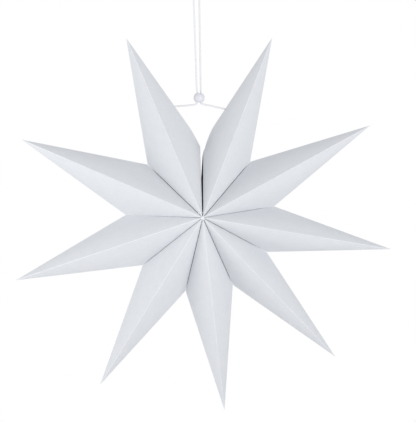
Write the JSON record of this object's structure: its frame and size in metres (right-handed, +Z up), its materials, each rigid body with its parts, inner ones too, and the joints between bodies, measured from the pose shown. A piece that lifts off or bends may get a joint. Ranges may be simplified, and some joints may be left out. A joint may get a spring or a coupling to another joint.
{
  "type": "hanging paper star",
  "caption": "Folding paper star with pointed hollow arms, sharp ridges and glued valleys, hung from a looped cord with a sliding bead that closes its seam.",
  "frame": {"origin": "inside of the cord loop's top, where the star hangs on a hook", "axes": "+Z up, -Y towards the viewer of the front, +X to the viewer's right; the star's hub axis is along Y"},
  "size_m": [0.4306, 0.1263, 0.491],
  "materials": {
    "paper": "matte",
    "cord": "matte",
    "bead": "satin"
  },
  "bodies": {
    "hanger": {"hanging_loop": "cord"},
    "upper_strand_left": {"upper_strand_left": "cord"},
    "lower_strand_left": {"lower_strand_left": "cord"},
    "leg_left": {"leg_left": "cord", "knot_left": "cord"},
    "upper_strand_right": {"upper_strand_right": "cord"},
    "lower_strand_right": {"lower_strand_right": "cord"},
    "leg_right": {"leg_right": "cord", "knot_right": "cord"},
    "bead": {"bead": "bead"},
    "arm_1_ridge": {"arm_1_ridge": "paper"},
    "arm_1_front_a": {"arm_1_front_a": "paper"},
    "arm_1_front_b": {"arm_1_front_b": "paper"},
    "arm_1_back_a": {"arm_1_back_a": "paper"},
    "arm_1_back_b": {"arm_1_back_b": "paper"},
    "arm_2_ridge": {"arm_2_ridge": "paper"},
    "arm_2_front_a": {"arm_2_front_a": "paper"},
    "arm_2_front_b": {"arm_2_front_b": "paper"},
    "arm_2_back_a": {"arm_2_back_a": "paper"},
    "arm_2_back_b": {"arm_2_back_b": "paper"},
    "arm_3_ridge": {"arm_3_ridge": "paper"},
    "arm_3_front_a": {"arm_3_front_a": "paper"},
    "arm_3_front_b": {"arm_3_front_b": "paper"},
    "arm_3_back_a": {"arm_3_back_a": "paper"},
    "arm_3_back_b": {"arm_3_back_b": "paper"},
    "arm_4_ridge": {"arm_4_ridge": "paper"},
    "arm_4_front_a": {"arm_4_front_a": "paper"},
    "arm_4_front_b": {"arm_4_front_b": "paper"},
    "arm_4_back_a": {"arm_4_back_a": "paper"},
    "arm_4_back_b": {"arm_4_back_b": "paper"},
    "arm_5_ridge": {"arm_5_ridge": "paper"},
    "arm_5_front_a": {"arm_5_front_a": "paper"},
    "arm_5_front_b": {"arm_5_front_b": "paper"},
    "arm_5_back_a": {"arm_5_back_a": "paper"},
    "arm_5_back_b": {"arm_5_back_b": "paper"},
    "arm_6_ridge": {"arm_6_ridge": "paper"},
    "arm_6_front_a": {"arm_6_front_a": "paper"},
    "arm_6_front_b": {"arm_6_front_b": "paper"},
    "arm_6_back_a": {"arm_6_back_a": "paper"},
    "arm_6_back_b": {"arm_6_back_b": "paper"},
    "arm_7_ridge": {"arm_7_ridge": "paper"},
    "arm_7_front_a": {"arm_7_front_a": "paper"},
    "arm_7_front_b": {"arm_7_front_b": "paper"},
    "arm_7_back_a": {"arm_7_back_a": "paper"},
    "arm_7_back_b": {"arm_7_back_b": "paper"},
    "arm_8_ridge": {"arm_8_ridge": "paper"},
    "arm_8_front_a": {"arm_8_front_a": "paper"},
    "arm_8_front_b": {"arm_8_front_b": "paper"},
    "arm_8_back_a": {"arm_8_back_a": "paper"},
    "arm_8_back_b": {"arm_8_back_b": "paper"},
    "arm_9_ridge": {"arm_9_ridge": "paper"},
    "arm_9_front_a": {"arm_9_front_a": "paper"},
    "arm_9_front_b": {"arm_9_front_b": "paper"},
    "arm_9_back_a": {"arm_9_back_a": "paper"},
    "arm_9_back_b": {"arm_9_back_b": "paper"},
    "seam_flap_front_left": {"seam_flap_front_left": "paper"},
    "seam_flap_front_right": {"seam_flap_front_right": "paper"},
    "seam_flap_back_left": {"seam_flap_back_left": "paper"},
    "seam_flap_back_right": {"seam_flap_back_right": "paper"}
  },
  "joints": [
    {"name": "fold", "type": "hinge", "parent": "hanger", "child": "arm_5_ridge", "pos_m": [0.00324, 0, -0.27733], "axis": [0, 1, 0], "range_deg": [0, 187.1]},
    {"name": "arm_1_fan", "type": "hinge", "parent": "arm_5_ridge", "child": "arm_1_ridge", "pos_m": [0.00324, 0, -0.26841], "axis": [0, -1, 0], "range_deg": [0, 164.6]},
    {"name": "arm_2_fan", "type": "hinge", "parent": "arm_5_ridge", "child": "arm_2_ridge", "pos_m": [0.00369, 0, -0.26883], "axis": [0, -1, 0], "range_deg": [0, 120.6]},
    {"name": "arm_3_fan", "type": "hinge", "parent": "arm_5_ridge", "child": "arm_3_ridge", "pos_m": [0.00413, 0, -0.26907], "axis": [0, -1, 0], "range_deg": [0, 78.35]},
    {"name": "arm_4_fan", "type": "hinge", "parent": "arm_5_ridge", "child": "arm_4_ridge", "pos_m": [0.00455, 0, -0.2692], "axis": [0, -1, 0], "range_deg": [0, 38.1]},
    {"name": "arm_6_fan", "type": "hinge", "parent": "arm_5_ridge", "child": "arm_6_ridge", "pos_m": [0.00534, 0, -0.26914], "axis": [0, 1, 0], "range_deg": [0, 37]},
    {"name": "arm_7_fan", "type": "hinge", "parent": "arm_5_ridge", "child": "arm_7_ridge", "pos_m": [0.00573, 0, -0.26897], "axis": [0, 1, 0], "range_deg": [0, 73.45]},
    {"name": "arm_8_fan", "type": "hinge", "parent": "arm_5_ridge", "child": "arm_8_ridge", "pos_m": [0.00609, 0, -0.26866], "axis": [0, 1, 0], "range_deg": [0, 111.35]},
    {"name": "arm_9_fan", "type": "hinge", "parent": "arm_5_ridge", "child": "arm_9_ridge", "pos_m": [0.00644, 0, -0.26821], "axis": [0, 1, 0], "range_deg": [0, 151.15]},
    {"name": "arm_1_front_a_fold", "type": "hinge", "parent": "arm_1_ridge", "child": "arm_1_front_a", "pos_m": [0.00483, -0.0647, -0.26808], "axis": [-0.3676, 0.2775, 0.8876], "range_deg": [0, 39.42]},
    {"name": "arm_1_outline_a_fold", "type": "hinge", "parent": "arm_1_front_a", "child": "arm_1_back_a", "pos_m": [0.0048, 0, -0.1815], "axis": [0.5786, 0, -0.8156], "range_deg": [0, 75.19]},
    {"name": "seam_flap_front_left_fold", "type": "hinge", "parent": "arm_1_front_a", "child": "seam_flap_front_left", "pos_m": [0.0048, -0.065, -0.268], "axis": [0, -0.6007, -0.7994], "range_deg": [0, 49.74]},
    {"name": "seam_flap_back_left_fold", "type": "hinge", "parent": "arm_1_back_a", "child": "seam_flap_back_left", "pos_m": [0.0048, 0.065, -0.268], "axis": [0, -0.6007, 0.7994], "range_deg": [0, 49.74]},
    {"name": "arm_1_front_b_fold", "type": "hinge", "parent": "arm_1_ridge", "child": "arm_1_front_b", "pos_m": [0.00483, -0.0647, -0.26808], "axis": [0.3676, -0.2775, -0.8876], "range_deg": [0, 39.42]},
    {"name": "arm_1_outline_b_fold", "type": "hinge", "parent": "arm_1_front_b", "child": "arm_1_back_b", "pos_m": [-0.05636, 0, -0.20683], "axis": [-0.1676, 0, 0.9859], "range_deg": [0, 75.19]},
    {"name": "arm_2_front_a_fold", "type": "hinge", "parent": "arm_2_ridge", "child": "arm_2_front_a", "pos_m": [0.00488, -0.06469, -0.26804], "axis": [-0.881, 0.2775, 0.3831], "range_deg": [0, 38.33]},
    {"name": "arm_2_outline_a_fold", "type": "hinge", "parent": "arm_2_front_a", "child": "arm_2_back_a", "pos_m": [-0.05636, 0, -0.20683], "axis": [0.9812, 0, -0.193], "range_deg": [0, 73.13]},
    {"name": "arm_2_front_b_fold", "type": "hinge", "parent": "arm_2_ridge", "child": "arm_2_front_b", "pos_m": [0.00488, -0.06469, -0.26804], "axis": [0.881, -0.2775, -0.3831], "range_deg": [0, 38.33]},
    {"name": "arm_2_outline_b_fold", "type": "hinge", "parent": "arm_2_front_b", "child": "arm_2_back_b", "pos_m": [-0.08165, 0, -0.26498], "axis": [-0.8103, 0, 0.586], "range_deg": [0, 73.13]},
    {"name": "arm_3_front_a_fold", "type": "hinge", "parent": "arm_3_ridge", "child": "arm_3_front_a", "pos_m": [0.00489, -0.06468, -0.26797], "axis": [-0.9097, 0.2775, -0.3088], "range_deg": [0, 37.46]},
    {"name": "arm_3_outline_a_fold", "type": "hinge", "parent": "arm_3_front_a", "child": "arm_3_back_a", "pos_m": [-0.08165, 0, -0.26498], "axis": [0.8594, 0, 0.5114], "range_deg": [0, 71.51]},
    {"name": "arm_3_front_b_fold", "type": "hinge", "parent": "arm_3_ridge", "child": "arm_3_front_b", "pos_m": [0.00489, -0.06468, -0.26797], "axis": [0.9097, -0.2775, 0.3088], "range_deg": [0, 37.46]},
    {"name": "arm_3_outline_b_fold", "type": "hinge", "parent": "arm_3_front_b", "child": "arm_3_back_b", "pos_m": [-0.06195, 0, -0.32302], "axis": [-0.9931, 0, -0.1174], "range_deg": [0, 71.51]},
    {"name": "arm_4_front_a_fold", "type": "hinge", "parent": "arm_4_ridge", "child": "arm_4_front_a", "pos_m": [0.00485, -0.06467, -0.26792], "axis": [-0.4948, 0.2775, -0.8235], "range_deg": [0, 35.95]},
    {"name": "arm_4_outline_a_fold", "type": "hinge", "parent": "arm_4_front_a", "child": "arm_4_back_a", "pos_m": [-0.06195, 0, -0.32302], "axis": [0.3358, 0, 0.9419], "range_deg": [0, 68.67]},
    {"name": "arm_4_front_b_fold", "type": "hinge", "parent": "arm_4_ridge", "child": "arm_4_front_b", "pos_m": [0.00485, -0.06467, -0.26792], "axis": [0.4948, -0.2775, 0.8235], "range_deg": [0, 35.95]},
    {"name": "arm_4_outline_b_fold", "type": "hinge", "parent": "arm_4_front_b", "child": "arm_4_back_b", "pos_m": [-0.01244, 0, -0.35276], "axis": [-0.674, 0, -0.7387], "range_deg": [0, 68.67]},
    {"name": "arm_5_front_a_fold", "type": "hinge", "parent": "arm_5_ridge", "child": "arm_5_front_a", "pos_m": [0.00479, -0.06466, -0.2679], "axis": [0.1187, 0.2775, -0.9533], "range_deg": [0, 34.8]},
    {"name": "arm_5_outline_a_fold", "type": "hinge", "parent": "arm_5_front_a", "child": "arm_5_back_a", "pos_m": [-0.01244, 0, -0.35276], "axis": [-0.3093, 0, 0.951], "range_deg": [0, 66.51]},
    {"name": "arm_5_front_b_fold", "type": "hinge", "parent": "arm_5_ridge", "child": "arm_5_front_b", "pos_m": [0.00479, -0.06466, -0.2679], "axis": [-0.1187, -0.2775, 0.9533], "range_deg": [0, 34.8]},
    {"name": "arm_5_outline_b_fold", "type": "hinge", "parent": "arm_5_front_b", "child": "arm_5_back_b", "pos_m": [0.04231, 0, -0.34594], "axis": [-0.0666, 0, -0.9978], "range_deg": [0, 66.51]},
    {"name": "arm_6_front_a_fold", "type": "hinge", "parent": "arm_6_ridge", "child": "arm_6_front_a", "pos_m": [0.00473, -0.06466, -0.26793], "axis": [0.6686, 0.2775, -0.6899], "range_deg": [0, 34.54]},
    {"name": "arm_6_outline_a_fold", "type": "hinge", "parent": "arm_6_front_a", "child": "arm_6_back_a", "pos_m": [0.04231, 0, -0.34594], "axis": [-0.8183, 0, 0.5748], "range_deg": [0, 66.01]},
    {"name": "arm_6_front_b_fold", "type": "hinge", "parent": "arm_6_ridge", "child": "arm_6_front_b", "pos_m": [0.00473, -0.06466, -0.26793], "axis": [-0.6686, -0.2775, 0.6899], "range_deg": [0, 34.54]},
    {"name": "arm_6_outline_b_fold", "type": "hinge", "parent": "arm_6_front_b", "child": "arm_6_back_b", "pos_m": [0.08153, 0, -0.30794], "axis": [0.5488, 0, -0.836], "range_deg": [0, 66.01]},
    {"name": "arm_7_front_a_fold", "type": "hinge", "parent": "arm_7_ridge", "child": "arm_7_front_a", "pos_m": [0.0047, -0.06466, -0.26798], "axis": [0.9477, 0.2775, -0.1577], "range_deg": [0, 34.08]},
    {"name": "arm_7_outline_a_fold", "type": "hinge", "parent": "arm_7_front_a", "child": "arm_7_back_a", "pos_m": [0.08153, 0, -0.30794], "axis": [-0.9998, 0, -0.0206], "range_deg": [0, 65.14]},
    {"name": "arm_7_front_b_fold", "type": "hinge", "parent": "arm_7_ridge", "child": "arm_7_front_b", "pos_m": [0.0047, -0.06466, -0.26798], "axis": [-0.9477, -0.2775, 0.1577], "range_deg": [0, 34.08]},
    {"name": "arm_7_outline_b_fold", "type": "hinge", "parent": "arm_7_front_b", "child": "arm_7_back_b", "pos_m": [0.09033, 0, -0.25506], "axis": [0.9392, 0, -0.3434], "range_deg": [0, 65.14]},
    {"name": "arm_8_front_a_fold", "type": "hinge", "parent": "arm_8_ridge", "child": "arm_8_front_a", "pos_m": [0.00472, -0.06468, -0.26804], "axis": [0.8447, 0.2775, 0.4577], "range_deg": [0, 36.38]},
    {"name": "arm_8_outline_a_fold", "type": "hinge", "parent": "arm_8_front_a", "child": "arm_8_back_a", "pos_m": [0.09033, 0, -0.25506], "axis": [-0.766, 0, -0.6429], "range_deg": [0, 69.48]},
    {"name": "arm_8_front_b_fold", "type": "hinge", "parent": "arm_8_ridge", "child": "arm_8_front_b", "pos_m": [0.00472, -0.06468, -0.26804], "axis": [-0.8447, -0.2775, -0.4577], "range_deg": [0, 36.38]},
    {"name": "arm_8_outline_b_fold", "type": "hinge", "parent": "arm_8_front_b", "child": "arm_8_back_b", "pos_m": [0.06234, 0, -0.20342], "axis": [0.9568, 0, 0.2906], "range_deg": [0, 69.48]},
    {"name": "arm_9_front_a_fold", "type": "hinge", "parent": "arm_9_ridge", "child": "arm_9_front_a", "pos_m": [0.00477, -0.06468, -0.26809], "axis": [0.356, 0.2775, 0.8923], "range_deg": [0, 36.51]},
    {"name": "arm_9_outline_a_fold", "type": "hinge", "parent": "arm_9_front_a", "child": "arm_9_back_a", "pos_m": [0.06234, 0, -0.20342], "axis": [-0.1761, 0, -0.9844], "range_deg": [0, 69.71]},
    {"name": "arm_9_front_b_fold", "type": "hinge", "parent": "arm_9_ridge", "child": "arm_9_front_b", "pos_m": [0.00477, -0.06468, -0.26809], "axis": [-0.356, -0.2775, -0.8923], "range_deg": [0, 36.51]},
    {"name": "arm_9_outline_b_fold", "type": "hinge", "parent": "arm_9_front_b", "child": "arm_9_back_b", "pos_m": [0.00752, 0, -0.18154], "axis": [0.5499, 0, 0.8353], "range_deg": [0, 69.71]},
    {"name": "seam_flap_front_right_fold", "type": "hinge", "parent": "arm_9_front_b", "child": "seam_flap_front_right", "pos_m": [0.0048, -0.065, -0.268], "axis": [0.0251, 0.6007, 0.7991], "range_deg": [0, 45.63]},
    {"name": "seam_flap_back_right_fold", "type": "hinge", "parent": "arm_9_back_b", "child": "seam_flap_back_right", "pos_m": [0.0048, 0.065, -0.268], "axis": [-0.0251, 0.6007, -0.7991], "range_deg": [0, 45.63]},
    {"name": "upper_strand_left_swing", "type": "hinge", "parent": "hanger", "child": "upper_strand_left", "pos_m": [-0.0029, -0.001, -0.02395], "axis": [0, -1, 0], "range_deg": [0, 10.73], "deforming": ["upper_strand_left"]},
    {"name": "lower_strand_left_swing", "type": "hinge", "parent": "upper_strand_left", "child": "lower_strand_left", "pos_m": [-0.00155, -0.001, -0.062], "axis": [0, 1, 0], "range_deg": [0, 13.4], "deforming": ["lower_strand_left"]},
    {"name": "leg_left_swing", "type": "hinge", "parent": "lower_strand_left", "child": "leg_left", "pos_m": [0.0018, -0.001, -0.13398], "axis": [0.0344, -0.9488, -0.3141], "range_deg": [0, 78.5], "deforming": ["leg_left", "knot_left"]},
    {"name": "upper_strand_right_swing", "type": "hinge", "parent": "hanger", "child": "upper_strand_right", "pos_m": [0.00364, 0.001, -0.02395], "axis": [0, 1, 0], "range_deg": [0, 13.2], "deforming": ["upper_strand_right"]},
    {"name": "lower_strand_right_swing", "type": "hinge", "parent": "upper_strand_right", "child": "lower_strand_right", "pos_m": [0.00426, 0.001, -0.062], "axis": [0, -1, 0], "range_deg": [0, 12.77], "deforming": ["lower_strand_right"]},
    {"name": "leg_right_swing", "type": "hinge", "parent": "lower_strand_right", "child": "leg_right", "pos_m": [0.0048, 0.001, -0.13398], "axis": [0.0934, 0.9771, 0.1911], "range_deg": [0, 71.8], "deforming": ["leg_right", "knot_right"]},
    {"name": "bead_slide", "type": "slide", "parent": "hanger", "child": "bead", "axis": [-0.0314, 0, 0.9995], "range_m": [0, 0.09111], "deforming": ["hanging_loop"]}
  ],
  "couplings": [
    {"joint": "arm_1_fan", "follows": "fold", "ratio": 0.87974},
    {"joint": "arm_2_fan", "follows": "fold", "ratio": 0.64458},
    {"joint": "arm_3_fan", "follows": "fold", "ratio": 0.41876},
    {"joint": "arm_4_fan", "follows": "fold", "ratio": 0.20363},
    {"joint": "arm_6_fan", "follows": "fold", "ratio": 0.19775},
    {"joint": "arm_7_fan", "follows": "fold", "ratio": 0.39257},
    {"joint": "arm_8_fan", "follows": "fold", "ratio": 0.59514},
    {"joint": "arm_9_fan", "follows": "fold", "ratio": 0.80786},
    {"joint": "arm_1_front_a_fold", "follows": "fold", "ratio": 0.2107},
    {"joint": "arm_1_outline_a_fold", "follows": "fold", "ratio": 0.40188},
    {"joint": "seam_flap_front_left_fold", "follows": "fold", "ratio": 0.26586},
    {"joint": "seam_flap_back_left_fold", "follows": "fold", "ratio": 0.26586},
    {"joint": "arm_1_front_b_fold", "follows": "fold", "ratio": 0.2107},
    {"joint": "arm_1_outline_b_fold", "follows": "fold", "ratio": 0.40188},
    {"joint": "arm_2_front_a_fold", "follows": "fold", "ratio": 0.20482},
    {"joint": "arm_2_outline_a_fold", "follows": "fold", "ratio": 0.39086},
    {"joint": "arm_2_front_b_fold", "follows": "fold", "ratio": 0.20482},
    {"joint": "arm_2_outline_b_fold", "follows": "fold", "ratio": 0.39086},
    {"joint": "arm_3_front_a_fold", "follows": "fold", "ratio": 0.20022},
    {"joint": "arm_3_outline_a_fold", "follows": "fold", "ratio": 0.3822},
    {"joint": "arm_3_front_b_fold", "follows": "fold", "ratio": 0.20022},
    {"joint": "arm_3_outline_b_fold", "follows": "fold", "ratio": 0.3822},
    {"joint": "arm_4_front_a_fold", "follows": "fold", "ratio": 0.19214},
    {"joint": "arm_4_outline_a_fold", "follows": "fold", "ratio": 0.367},
    {"joint": "arm_4_front_b_fold", "follows": "fold", "ratio": 0.19214},
    {"joint": "arm_4_outline_b_fold", "follows": "fold", "ratio": 0.367},
    {"joint": "arm_5_front_a_fold", "follows": "fold", "ratio": 0.18601},
    {"joint": "arm_5_outline_a_fold", "follows": "fold", "ratio": 0.35545},
    {"joint": "arm_5_front_b_fold", "follows": "fold", "ratio": 0.18601},
    {"joint": "arm_5_outline_b_fold", "follows": "fold", "ratio": 0.35545},
    {"joint": "arm_6_front_a_fold", "follows": "fold", "ratio": 0.18461},
    {"joint": "arm_6_outline_a_fold", "follows": "fold", "ratio": 0.35281},
    {"joint": "arm_6_front_b_fold", "follows": "fold", "ratio": 0.18461},
    {"joint": "arm_6_outline_b_fold", "follows": "fold", "ratio": 0.35281},
    {"joint": "arm_7_front_a_fold", "follows": "fold", "ratio": 0.18213},
    {"joint": "arm_7_outline_a_fold", "follows": "fold", "ratio": 0.34813},
    {"joint": "arm_7_front_b_fold", "follows": "fold", "ratio": 0.18213},
    {"joint": "arm_7_outline_b_fold", "follows": "fold", "ratio": 0.34813},
    {"joint": "arm_8_front_a_fold", "follows": "fold", "ratio": 0.19445},
    {"joint": "arm_8_outline_a_fold", "follows": "fold", "ratio": 0.37136},
    {"joint": "arm_8_front_b_fold", "follows": "fold", "ratio": 0.19445},
    {"joint": "arm_8_outline_b_fold", "follows": "fold", "ratio": 0.37136},
    {"joint": "arm_9_front_a_fold", "follows": "fold", "ratio": 0.1951},
    {"joint": "arm_9_outline_a_fold", "follows": "fold", "ratio": 0.37259},
    {"joint": "arm_9_front_b_fold", "follows": "fold", "ratio": 0.1951},
    {"joint": "arm_9_outline_b_fold", "follows": "fold", "ratio": 0.37259},
    {"joint": "seam_flap_front_right_fold", "follows": "fold", "ratio": 0.2439},
    {"joint": "seam_flap_back_right_fold", "follows": "fold", "ratio": 0.2439},
    {"joint": "upper_strand_left_swing", "follows": "fold", "ratio": 0.057344},
    {"joint": "lower_strand_left_swing", "follows": "fold", "ratio": 0.071586},
    {"joint": "leg_left_swing", "follows": "fold", "ratio": 0.41955},
    {"joint": "upper_strand_right_swing", "follows": "fold", "ratio": 0.070551},
    {"joint": "lower_strand_right_swing", "follows": "fold", "ratio": 0.068232},
    {"joint": "leg_right_swing", "follows": "fold", "ratio": 0.38373},
    {"joint": "bead_slide", "follows": "fold", "m_per_rad": 0.027896}
  ]
}
